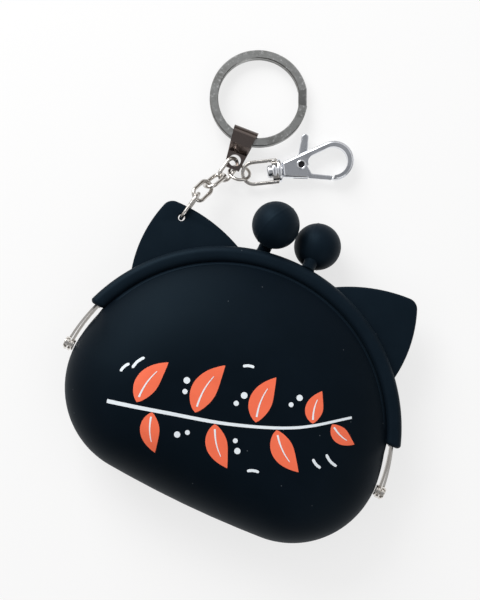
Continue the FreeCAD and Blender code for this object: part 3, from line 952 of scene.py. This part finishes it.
@dataclass
class Ear:
    """One flat ear tab on the back hem. Lengths are millimetres; sign is 1 right, -1 left."""

    sign: int
    hem_outer: float = HEM_OUTER
    drop: float = HEM_DROP
    thickness: float = 2.8
    edge_round: float = 1.0
    edge_angle: float = 50.0
    round_steps: int = 5
    edge_steps: int = 28
    tip_steps: int = 14
    hole_sides: int = 64
    root: float = 3.4
    foot_outer: float = 42.55
    foot_inner: float = 15.6
    side_radius: float = 40.0
    brow_radius: float = 49.0
    tip: Range = (37.8, 50.8)
    tip_radius: float = 3.4
    turn: float = 3.0
    hole: Triple = (-37.46, 48.44, 1.05)
    punch_depth: float = 11.2
    mouth: float = MOUTH

    def on_hem(self, x: float) -> Vector:
        """The hem's outer edge at an x, in millimetres."""
        return Vector((x, math.sqrt(self.hem_outer ** 2 - x * x) - self.drop, 0.0))

    def curve(self, foot: Vector, radius: float, bow: int) -> list[Vector]:
        """Points of one edge of the ear from its root in the hem to the round of the tip.

        Args:
            foot: Where the edge leaves the hem.
            radius: Radius of the edge's arc.
            bow: 1 or -1 for the side that the arc's centre lies on.

        Returns:
            The points from root to tip.
        """
        tip = Vector((*self.tip, 0.0))
        way = tip - foot
        reach = way.length
        way.normalize()
        along = (radius ** 2 - (radius - self.tip_radius) ** 2 + reach ** 2) / reach / 2
        aside = Vector((-way.y, way.x, 0))
        centre = foot + way * along + aside * (bow * math.sqrt(radius ** 2 - along ** 2))
        first = foot - centre
        inward = first.cross(Vector((0, 0, bow))).normalized() * self.root
        start = (foot + inward - centre).normalized()
        end = (tip - centre).normalized()
        return self.arc(centre, start * radius, end, self.edge_steps)

    @staticmethod
    def arc(centre: Vector, start: Vector, end: Vector, steps: int) -> list[Vector]:
        """Points of the shorter arc from one spoke towards another.

        Args:
            centre: The arc's centre.
            start: Spoke to the first point.
            end: Spoke in the last point's direction.
            steps: Number of steps between them.

        Returns:
            The points from start to end.
        """
        sweep = start.angle(end) * (1 if start.cross(end).z > 0 else -1)
        turns = [Matrix.Rotation(sweep * step / steps, 3, "Z") for step in range(steps + 1)]
        return [centre + turn @ start for turn in turns]

    def outline(self) -> list[Vector]:
        """The ear's outline from root to root.

        Returns:
            The points in millimetres.
        """
        side = self.curve(self.on_hem(self.foot_outer), self.side_radius, 1)
        brow = self.curve(self.on_hem(self.foot_inner), self.brow_radius, -1)
        tip = Vector((*self.tip, 0.0))
        round_tip = self.arc(tip, side[-1] - tip, brow[-1] - tip, self.tip_steps)
        return side + round_tip[1:-1] + brow[::-1]

    def build(self) -> Piece:
        """Extrudes the outline, rounds its rims and, in the left ear, cuts the chain's hole.

        Returns:
            The ear's object.
        """
        low = self.mouth - self.thickness / 2
        centre = Vector((0.0, -self.drop, 0.0))
        turned = Matrix.Rotation(math.radians(self.turn), 3, "Z")
        points = []
        for point in self.outline():
            flipped = Vector((point.x * self.sign, point.y, low))
            points.append((centre + turned @ (flipped - centre)) * MM)
        ear = Bench.mesh("right_ear" if self.sign > 0 else "left_ear", points, [range(len(points))])
        Bench.edit(ear)
        bpy.ops.mesh.extrude_region_move(TRANSFORM_OT_translate={"value": (0, 0, self.thickness * MM)})
        Bench.done()
        Bench.close(ear)
        if self.sign < 0:
            self.pierce(ear)
        Bench.modify(ear, "BEVEL", width=self.edge_round * MM, segments=self.round_steps,
                     limit_method="ANGLE", angle_limit=math.radians(self.edge_angle),
                     use_clamp_overlap=True)
        Bench.soften(ear, degrees=40.0)
        return ear

    def pierce(self, ear: Piece) -> None:
        """Cuts the round hole that the chain's first link passes through.

        Args:
            ear: The ear's object.
        """
        x, y, radius = self.hole
        Bench.clear()
        bpy.ops.mesh.primitive_cylinder_add(vertices=self.hole_sides, radius=radius * MM,
                                            depth=self.punch_depth * MM,
                                            location=(x * MM, y * MM, self.mouth * MM))
        Bench.combine(ear, Bench.added("punch"), "DIFFERENCE")


@dataclass(frozen=True)
class Leaf:
    """One printed leaf: foot, heading in degrees, length and width in millimetres."""

    x: float
    y: float
    heading: float
    length: float
    width: float


@dataclass
class SprigPrint:
    """A printed sprig of leaves with a stem, veins, berries and dashes on the front skin.

    Lengths are millimetres.
    """

    stem: tuple[Range, ...] = (
        (-33.0, -9.0), (-16.0, -4.5), (2.0, 0.5), (19.0, 7.5), (33.0, 17.0))
    leaves: tuple[Leaf, ...] = (
        Leaf(-25.0, -6.4, 78, 15.5, 6.6), Leaf(-20.0, -5.4, -62, 12.5, 5.6),
        Leaf(-8.5, -1.9, 84, 17.0, 7.2), Leaf(-2.5, -0.6, -50, 14.0, 6.2),
        Leaf(8.5, 3.2, 92, 15.0, 6.6), Leaf(14.0, 5.4, -38, 14.5, 6.4),
        Leaf(23.5, 10.2, 100, 10.2, 5.2), Leaf(28.0, 13.2, -18, 9.5, 4.6))
    berries: tuple[Triple, ...] = (
        (-14.8, 6.4, 0.95), (-13.9, 3.3, 0.75), (1.9, 9.6, 0.95), (0.8, 6.6, 0.75), (16.6, 15.8, 0.9),
        (15.2, 13.0, 0.7), (-10.6, -8.8, 0.9), (-8.2, -7.0, 0.7), (7.0, -5.6, 0.9), (5.2, -3.2, 0.7))
    dashes: tuple[tuple[float, float, float, float], ...] = (
        (-30.5, 2.8, 66, 4.6), (-33.2, 0.4, 66, 3.4), (30.6, 4.4, -24, 4.6), (27.6, 1.6, -24, 3.4),
        (-2.0, 17.0, 20, 3.2), (12.0, -9.6, 20, 3.4))
    line: float = 1.0
    vein: float = 0.55
    lift: float = 0.07
    vein_lift: float = 0.13
    film: float = 0.10
    high: float = 60.0
    stem_taper: Range = (1.15, 0.70)
    vein_taper: Range = (1.0, 0.4)
    bow_share: float = 0.09
    swell_lean: float = 0.82
    swell_round: float = 0.9
    leaf_span: Range = (0.06, 1.0)
    vein_span: Range = (0.16, 0.74)
    leaf_steps: int = 26
    leaf_columns: int = 8
    vein_steps: int = 12
    stem_steps: int = 64
    dash_steps: int = 10
    dash_width: float = 0.8
    dash_end: float = 0.5
    berry_sides: int = 24
    tip_width: float = 0.05
    shapes: list[tuple[list[Vector], list[list[int]]]] = field(default_factory=list)

    def ribbon(self, points: Sequence[Vector], widths: Sequence[float], across: int = 4) -> None:
        """Adds a flat strip that follows points.

        Args:
            points: The strip's middle line.
            widths: Its width at each point.
            across: Number of columns of faces.
        """
        corners: list[Vector] = []
        for number, (point, width) in enumerate(zip(points, widths)):
            before = points[max(number - 1, 0)]
            after = points[min(number + 1, len(points) - 1)]
            way = (after - before).normalized()
            aside = Vector((-way.y, way.x, 0.0))
            corners += [point + aside * (width * (step / across - 0.5)) for step in range(across + 1)]
        row = across + 1
        faces = [[n * row + k, (n + 1) * row + k, (n + 1) * row + k + 1, n * row + k + 1]
                 for n in range(len(points) - 1) for k in range(across)]
        self.shapes.append((corners, faces))

    def line_through(self, knots: Sequence[Range], count: int) -> list[Vector]:
        """A smooth line through knots.

        Args:
            knots: Points that the line passes through.
            count: Number of steps along it.

        Returns:
            The line's points.
        """
        spots = [Vector((*knot, 0.0)) for knot in knots]
        spots = [spots[0] * 2 - spots[1]] + spots + [spots[-1] * 2 - spots[-2]]
        points = []
        for step in range(count + 1):
            place = step / count * (len(knots) - 1)
            part = min(int(place), len(knots) - 2)
            t = place - part
            a, b, c, d = spots[part:part + 4]
            points.append(((b * 2) + (c - a) * t + (a * 2 - b * 5 + c * 4 - d) * t ** 2
                           + (b * 3 - a - c * 3 + d) * t ** 3) / 2)
        return points

    def leaf_points(self, leaf: Leaf, start: float, end: float, count: int) -> list[Vector]:
        """Points along a leaf's slightly bowed middle line.

        Args:
            leaf: The leaf.
            start: Share of its length at which the line starts.
            end: Share of its length at which the line ends.
            count: Number of steps along it.

        Returns:
            The line's points.
        """
        turn = math.radians(leaf.heading)
        way = Vector((math.cos(turn), math.sin(turn), 0.0))
        aside = Vector((-way.y, way.x, 0.0))
        foot = Vector((leaf.x, leaf.y, 0.0))
        bow = leaf.length * self.bow_share * (1 if leaf.heading > 0 else -1)
        shares = [mix(start, end, step / count) for step in range(count + 1)]
        return [foot + way * (leaf.length * share) + aside * (bow * math.sin(math.pi * share))
                for share in shares]

    @staticmethod
    def taper(width: float, ends: Range, count: int) -> list[float]:
        """Widths that change evenly from the first share of a width to the last."""
        return [width * mix(*ends, step / count) for step in range(count + 1)]

    def film_piece(self, name: str, skin: Piece, lift: float) -> Piece:
        """Lays the collected flat shapes on the skin as one thin film.

        Args:
            name: Name of the piece.
            skin: The front skin that carries it.
            lift: Height of the film above the skin.

        Returns:
            The film's object.
        """
        corners: list[Vector] = []
        faces: list[list[int]] = []
        for points, loops in self.shapes:
            shift = len(corners)
            corners += [Vector((point.x, point.y, self.high)) * MM for point in points]
            faces += [[shift + number for number in loop] for loop in loops]
        self.shapes.clear()
        film = Bench.mesh(name, corners, faces)
        Bench.close(film)
        Bench.lay_on(film, skin, lift * MM)
        if film.data.polygons[0].normal.z < 0:
            film.data.flip_normals()
        Bench.modify(film, "SOLIDIFY", thickness=self.film * MM, offset=-1.0)
        Bench.soften(film, degrees=60.0)
        return film

    def build_leaves(self, skin: Piece) -> Piece:
        """Models the coral leaves.

        Args:
            skin: The front skin that carries them.

        Returns:
            The leaves' object.
        """
        shares = [step / self.leaf_steps for step in range(self.leaf_steps + 1)]
        swells = [math.sin(math.pi * share ** self.swell_lean) ** self.swell_round for share in shares]
        for leaf in self.leaves:
            points = self.leaf_points(leaf, *self.leaf_span, self.leaf_steps)
            widths = [max(leaf.width * swell, self.tip_width) for swell in swells]
            self.ribbon(points, widths, self.leaf_columns)
        return self.film_piece("printed_leaves", skin, self.lift)

    def build_lines(self, skin: Piece) -> Piece:
        """Models the pale stem, berries and dashes.

        Args:
            skin: The front skin that carries them.

        Returns:
            The lines' object.
        """
        widths = self.taper(self.line, self.stem_taper, self.stem_steps)
        self.ribbon(self.line_through(self.stem, self.stem_steps), widths)
        widths = [self.dash_end] + [self.dash_width] * (self.dash_steps - 1) + [self.dash_end]
        for x, y, heading, length in self.dashes:
            dash = Leaf(x, y, heading, length, self.line)
            self.ribbon(self.leaf_points(dash, 0.0, 1.0, self.dash_steps), widths)
        sides = self.berry_sides
        turns = [math.tau * side / sides for side in range(sides)]
        spokes = [Vector((math.cos(turn), math.sin(turn), 0.0)) for turn in turns]
        fan = [[side, (side + 1) % sides, sides] for side in range(sides)]
        for x, y, radius in self.berries:
            centre = Vector((x, y, 0.0))
            rim = [centre + spoke * radius for spoke in spokes]
            self.shapes.append((rim + [centre], fan))
        return self.film_piece("printed_lines", skin, self.lift)

    def build_veins(self, skin: Piece) -> Piece:
        """Models the pale veins that lie on the leaves.

        Args:
            skin: The front skin that carries them.

        Returns:
            The veins' object.
        """
        widths = self.taper(self.vein, self.vein_taper, self.vein_steps)
        for leaf in self.leaves:
            self.ribbon(self.leaf_points(leaf, *self.vein_span, self.vein_steps), widths)
        return self.film_piece("printed_veins", skin, self.vein_lift)


@dataclass
class SeamLip:
    """The fine raised lip of the front skin along its hem. Lengths are millimetres."""

    radius: float = 48.7
    drop: float = HEM_DROP
    end_heading: float = 24.0
    taper_power: int = 12
    width: float = 0.8
    height: float = 0.38
    sunk: float = 0.06
    wall: float = 0.5
    high: float = 60.0
    steps: int = 160
    across: int = 8

    def build(self, skin: Piece) -> Piece:
        """Lays a strip round the hem's inner edge and crowns it.

        Args:
            skin: The front skin that carries the lip.

        Returns:
            The lip's object.
        """
        Bench.clear()
        bpy.ops.mesh.primitive_grid_add(x_subdivisions=self.steps, y_subdivisions=self.across, size=2.0)
        lip = Bench.added("front_seam_lip")
        end = math.radians(self.end_heading)
        crowns = []
        for vertex in lip.data.vertices:
            turn = mix(math.pi - end, end, (vertex.co.x + 1) / 2)
            reach = self.radius + vertex.co.y * self.width / 2
            taper = 1 - abs(vertex.co.x) ** self.taper_power
            crowns.append(taper * (1 - vertex.co.y ** 2))
            across, along = reach * math.cos(turn), reach * math.sin(turn) - self.drop
            vertex.co = Vector((across, along, self.high)) * MM
        Bench.lay_on(lip, skin, -self.sunk * MM)
        for vertex, crown in zip(lip.data.vertices, crowns):
            vertex.co.z += crown * self.height * MM
        Bench.modify(lip, "SOLIDIFY", thickness=self.wall * MM, offset=-1.0)
        Bench.soften(lip, degrees=60.0)
        return lip


@dataclass
class Purse:
    """The soft purse: two skins, two hems with their balls, the ears and the print.

    Lengths are millimetres.
    """

    finishes: Finishes
    fold_start: Triple = (0.0, 0.0, MOUTH)
    fold_end: Triple = (0.0, 3.9, 6.5)

    def fold(self, piece: Piece) -> None:
        """Bakes a front piece's place into its mesh."""
        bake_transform(piece)

    def build(self) -> None:
        """Models and dresses all soft pieces."""
        skin = self.finishes.get(self.finishes.skin)
        # rim: the same silicone painted lighter, for the light on the raised parts.
        rim = self.finishes.get(self.finishes.rim)
        front = PouchSkin(Side.FRONT, rise=17.0, flat=(22.0, 10.0, 9.0, 10.09), ease=0.85).build()
        Bench.dress(front, skin, "silicone")
        back = PouchSkin(Side.BACK, rise=12.0, flat=(37.0, 28.0, 19.0, 7.53)).build()
        Bench.dress(back, skin, "silicone")
        self.print_on(front)
        lip = SeamLip().build(front)
        Bench.dress(lip, rim, "silicone")
        self.fold(lip)
        self.fold(front)
        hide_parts("front_flap")
        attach(back, "purse")
        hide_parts("pouch")
        for side in Side:
            hem = Hem(side).build()
            ball = ClaspBall(side).build()
            for piece in (hem, ball):
                Bench.dress(piece, rim, "silicone")
                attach(piece, side.body)
            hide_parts(f"{side.word}_hem")
        for sign in (1, -1):
            ear = Ear(sign).build()
            Bench.dress(ear, rim, "silicone")
            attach(ear, "purse")

    def print_on(self, front: Piece) -> None:
        """Adds the printed sprig to the front skin.

        Args:
            front: The front skin.
        """
        sprig = SprigPrint()
        leaves = sprig.build_leaves(front)
        lines = sprig.build_lines(front)
        veins = sprig.build_veins(front)
        for piece, finish in ((leaves, self.finishes.coral), (lines, self.finishes.white),
                              (veins, self.finishes.white)):
            Bench.dress(piece, self.finishes.get(finish), "silicone")
            self.fold(piece)


@dataclass
class ClaspTrim:
    """Small trim of the swivel clasp: the barrel at its collar, the eyes of its rivet and dark discs of
    painted shade in the rivet's middle.

    Lengths are millimetres; along runs on the clasp's axis from the gate's line.
    """

    finishes: Finishes
    barrel: Range = (-9.05, -6.1)
    barrel_bore: float = 2.25
    bore_spare: float = 0.001
    barrel_half_height: float = 2.46
    barrel_half_width: float = 3.6
    barrel_round: float = 0.45
    barrel_corner_share: float = 0.3
    groove: float = 0.16
    groove_share: float = 0.4
    barrel_steps: int = 96
    eye_radius: float = 1.2
    eye_roll: float = 0.30
    eye_flat_share: float = 0.75
    eye_sunk_share: float = 0.3
    eye_sides: tuple[int, int] = (64, 20)
    # Size and place of the dark disc of painted shade in the rivet's middle.
    well_radius: float = 1.0
    well_sides: int = 48
    well_thickness: float = 0.12
    well_stand: float = 0.02
    well_depth: float = 0.06
    well_wall_share: float = 0.45

    @staticmethod
    def joint(name: str) -> tuple[Vector, Vector]:
        """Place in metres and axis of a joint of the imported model."""
        found = next(joint for joint in frame["joints"] if joint["name"] == name)
        return Vector(found["pos_m"]), Vector(found["axis"])

    def build(self) -> None:
        """Models and dresses the barrel, the two rivet eyes and their dark discs of painted shade."""
        barrel = self.build_barrel()
        Bench.dress(barrel, self.finishes.get(self.finishes.cool), "nickel")
        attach(barrel, "swivel_loop")
        low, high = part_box("gate_rivet")
        for word, level, way in (("upper", high.z, 1), ("lower", low.z, -1)):
            # Each end of the rivet gets an eye and a dark disc of painted shade in its middle.
            for piece, finish in ((self.build_eye(word, level, way), self.finishes.cool),
                                  (self.build_painted_shade(word, level, way), self.finishes.painted_shade)):
                Bench.dress(piece, self.finishes.get(finish), "nickel")
                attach(piece, "clasp_hook")

    def build_barrel(self) -> Piece:
        """Spins the barrel's section round the clasp's axis and widens it.

        Returns:
            The barrel's object.
        """
        start, end = self.barrel
        middle = (start + end) / 2
        top, edge = self.barrel_half_height, self.barrel_round
        corner, floor = edge * self.barrel_corner_share, edge * self.groove_share
        outline = [(start, self.barrel_bore), (start, top - edge), (start + corner, top - corner),
                   (start + edge, top), (middle - edge, top), (middle - floor, top - self.groove),
                   (middle + floor, top - self.groove), (middle + edge, top), (end - edge, top),
                   (end - corner, top - corner), (end, top - edge), (end, self.barrel_bore)]
        Bench.clear()
        bpy.ops.mesh.primitive_circle_add(vertices=len(outline), radius=1.0)
        barrel = Bench.added("swivel_barrel")
        for vertex, (along, reach) in zip(barrel.data.vertices, outline):
            vertex.co = Vector((along, 0.0, reach)) * MM
        Bench.edit(barrel)
        bpy.ops.mesh.spin(steps=self.barrel_steps, angle=math.tau, center=(0, 0, 0), axis=(1, 0, 0))
        Bench.done()
        Bench.close(barrel)
        widen = self.barrel_half_width / top
        for vertex in barrel.data.vertices:
            if math.hypot(vertex.co.y, vertex.co.z) > (self.barrel_bore + self.bore_spare) * MM:
                vertex.co.y *= widen
        place, axis = self.joint("clasp_swivel")
        heading = Matrix.Rotation(math.atan2(axis.y, axis.x), 4, "Z")
        barrel.matrix_world = Matrix.Translation(place) @ heading
        Bench.settle(barrel)
        Bench.soften(barrel, degrees=35.0)
        return barrel

    def build_eye(self, word: str, level: float, way: int) -> Piece:
        """A rolled eyelet on one end of the rivet.

        Args:
            word: Upper or lower.
            level: Height of the rivet's end in metres.
            way: 1 for up, -1 for down.

        Returns:
            The eyelet's object.
        """
        place, _ = self.joint("gate_press")
        Bench.clear()
        sunk = way * self.eye_roll * self.eye_sunk_share * MM
        around, across = self.eye_sides
        bpy.ops.mesh.primitive_torus_add(
            major_segments=around, minor_segments=across, major_radius=self.eye_radius * MM,
            minor_radius=self.eye_roll * MM, location=(place.x, place.y, level - sunk))
        eye = Bench.added(f"{word}_rivet_eye")
        for vertex in eye.data.vertices:
            vertex.co.z *= self.eye_flat_share
        Bench.settle(eye)
        Bench.soften(eye, degrees=60.0)
        return eye

    def build_painted_shade(self, word: str, level: float, way: int) -> Piece:
        """A dark dished disc in the rivet's middle, painted shade where the rivet's hollow is.

        Args:
            word: Upper or lower.
            level: Height of the rivet's end in metres.
            way: 1 for up, -1 for down.

        Returns:
            The dish's object.
        """
        place, _ = self.joint("gate_press")
        Bench.clear()
        bpy.ops.mesh.primitive_cylinder_add(
            vertices=self.well_sides, radius=self.well_radius * MM, depth=self.well_thickness * MM,
            location=(place.x, place.y, level + way * self.well_stand * MM))
        painted_shade = Bench.added(f"{word}_rivet_painted_shade")
        Bench.pick(painted_shade, "FACE", lambda face: face.normal.z * way > FACES_OUT)
        bpy.ops.mesh.inset(thickness=self.well_radius * self.well_wall_share * MM)
        bpy.ops.transform.translate(value=(0, 0, -way * self.well_depth * MM))
        Bench.done()
        Bench.settle(painted_shade)
        Bench.soften(painted_shade, degrees=40.0)
        return painted_shade


@dataclass
class Hardware:
    """The metal pieces, which keep their solids and get plated finishes."""

    finishes: Finishes
    nickel: tuple[str, ...] = ("front_frame", "back_frame", "front_clasp_knob", "back_clasp_knob",
                               "hinge_rivet_right", "hinge_rivet_left")
    cool: tuple[str, ...] = ("clasp_hook", "clasp_gate", "gate_rivet")
    aged: tuple[str, ...] = ("jump_ring", "swivel_loop", "ear_link", "chain_link_1", "chain_link_2",
                             "chain_link_3")
    satin: tuple[str, ...] = ("split_ring", "gate_spring")
    # The strap's nickel carries a painted dark, brown reflection in its colour.
    painted_reflection: tuple[str, ...] = ("ring_strap",)

    def build(self) -> None:
        """Dresses the metal nodes."""
        dressed = ((self.nickel, self.finishes.nickel), (self.cool, self.finishes.cool),
                   (self.aged, self.finishes.aged), (self.satin, self.finishes.satin),
                   (self.painted_reflection, self.finishes.painted_reflection))
        for names, finish in dressed:
            for name in names:
                node = frame["nodes"][name]
                node.data.materials.clear()
                node.data.materials.append(self.finishes.get(finish))
                LOG.info("%s: %s", name, finish.name)


@dataclass(frozen=True)
class Lamp:
    """One square soft lamp: place and size in millimetres and power in watts."""

    name: str
    place: Triple
    size: float
    power: float


@dataclass
class Studio:
    """Pale floor, soft light and the camera straight above the purse. Lengths are millimetres."""

    camera_place: Triple = (-11.0, 33.75, 400.0)
    roll: float = 25.59
    view_height: float = 185.4
    sensor_height: float = 24.0
    near_clip: float = 10.0
    floor_level: float = -0.05
    floor_size: float = 6000.0
    floor_colour: Colour = (0.88, 0.88, 0.88)
    floor_glow: float = 0.72
    room: tuple[tuple[float, Colour], ...] = (
        (0.0, (0.55, 0.54, 0.53)), (0.28, (0.10, 0.085, 0.07)), (0.46, (0.26, 0.235, 0.21)),
        (0.62, (0.95, 0.95, 0.95)), (0.84, (0.80, 0.80, 0.80)), (0.95, (0.33, 0.335, 0.345)),
        (1.0, (0.24, 0.245, 0.255)))
    near_wall: Colour = (0.06, 0.055, 0.05)
    near_reach: Range = (0.0, 0.75)
    near_share: float = 0.75
    lamps: tuple[Lamp, ...] = (Lamp("key_softbox", (-470.0, 380.0, 380.0), 420.0, 4.3),
                               Lamp("fill_softbox", (500.0, -280.0, 360.0), 380.0, 0.6))
    aim: Triple = (-5.0, 30.0, 10.0)

    def build(self) -> None:
        """Makes the stage, the lights and the camera."""
        scene = bpy.context.scene
        scene.view_settings.view_transform = "Standard"
        self.floor()
        self.sky(scene)
        for lamp in self.lamps:
            self.hang(lamp)
        self.camera(scene)

    def floor(self) -> None:
        """A wide pale floor that stays white to the camera but keeps a soft shadow."""
        Bench.clear()
        bpy.ops.mesh.primitive_plane_add(size=self.floor_size * MM,
                                         location=(0, 0, self.floor_level * MM))
        floor = Bench.added("studio_floor")
        material, nodes = new_material("pale_floor")
        path = nodes.node("ShaderNodeLightPath")
        seen = path.out("Is Camera Ray") + path.out("Is Glossy Ray")
        matt = nodes.node("ShaderNodeBsdfDiffuse", {}, {"Color": (*self.floor_colour, 1.0)}).out()
        glow = nodes.node("ShaderNodeEmission", {}, {"Color": (*WHITE, 1.0), "Strength": 1.0}).out()
        share = seen * self.floor_glow
        mixed = nodes.node("ShaderNodeMixShader", {}, {0: share, 1: matt, 2: glow}).out()
        nodes.node("ShaderNodeOutputMaterial", {}, {"Surface": mixed})
        floor.data.materials.append(material)

    def sky(self, scene: bpy.types.Scene) -> None:
        """White to the camera; to the object a soft room with a darker, warm band and near wall.

        Args:
            scene: The scene that gets the world.
        """
        world = bpy.data.worlds.new("studio")
        scene.world = world
        world.use_nodes = True
        nodes = Nodes(world.node_tree)
        place = nodes.node("ShaderNodeTexCoord").out("Generated")
        way = nodes.node("ShaderNodeSeparateXYZ", {}, {0: place})
        room = nodes.node("ShaderNodeValToRGB", {"stops": self.room}, {0: way.out(2)}).out()
        turn = math.radians(self.roll)
        near = way.out(0) * math.sin(turn) + way.out(1) * -math.cos(turn)
        room = nodes.colours(room, self.near_wall, near.ramp(*self.near_reach) * self.near_share)
        path = nodes.node("ShaderNodeLightPath")
        colour = nodes.colours(room, WHITE, path.out("Is Camera Ray"))
        back = nodes.node("ShaderNodeBackground", {}, {"Color": colour, "Strength": 1.0}).out()
        nodes.node("ShaderNodeOutputWorld", {}, {"Surface": back})

    def hang(self, lamp: Lamp) -> None:
        """Hangs one lamp so that it faces the purse.

        Args:
            lamp: The lamp.
        """
        data = bpy.data.lights.new(lamp.name, "AREA")
        data.size = lamp.size * MM
        data.energy = lamp.power
        light = bpy.data.objects.new(lamp.name, data)
        bpy.context.collection.objects.link(light)
        light.location = Vector(lamp.place) * MM
        aim = Vector(self.aim) * MM - light.location
        light.rotation_euler = aim.to_track_quat("-Z", "Y").to_euler()

    def camera(self, scene: bpy.types.Scene) -> None:
        """Sets the camera above the purse, turned as the photograph is.

        Args:
            scene: The scene that gets the camera.
        """
        data = bpy.data.cameras.new("photo_camera")
        data.sensor_fit = "VERTICAL"
        data.sensor_height = self.sensor_height
        data.lens = self.sensor_height * self.camera_place[2] / self.view_height
        data.clip_start = self.near_clip * MM
        camera = bpy.data.objects.new("photo_camera", data)
        bpy.context.collection.objects.link(camera)
        camera.location = Vector(self.camera_place) * MM
        camera.rotation_euler = (0.0, 0.0, math.radians(self.roll))
        scene.camera = camera


def main() -> None:
    """Builds the purse, its metal and the studio in order."""
    logging.basicConfig(level=logging.INFO, format="%(name)s: %(message)s")
    finishes = Finishes()
    Purse(finishes).build()
    Hardware(finishes).build()
    ClaspTrim(finishes).build()
    Studio().build()


if __name__ == "__main__":
    main()
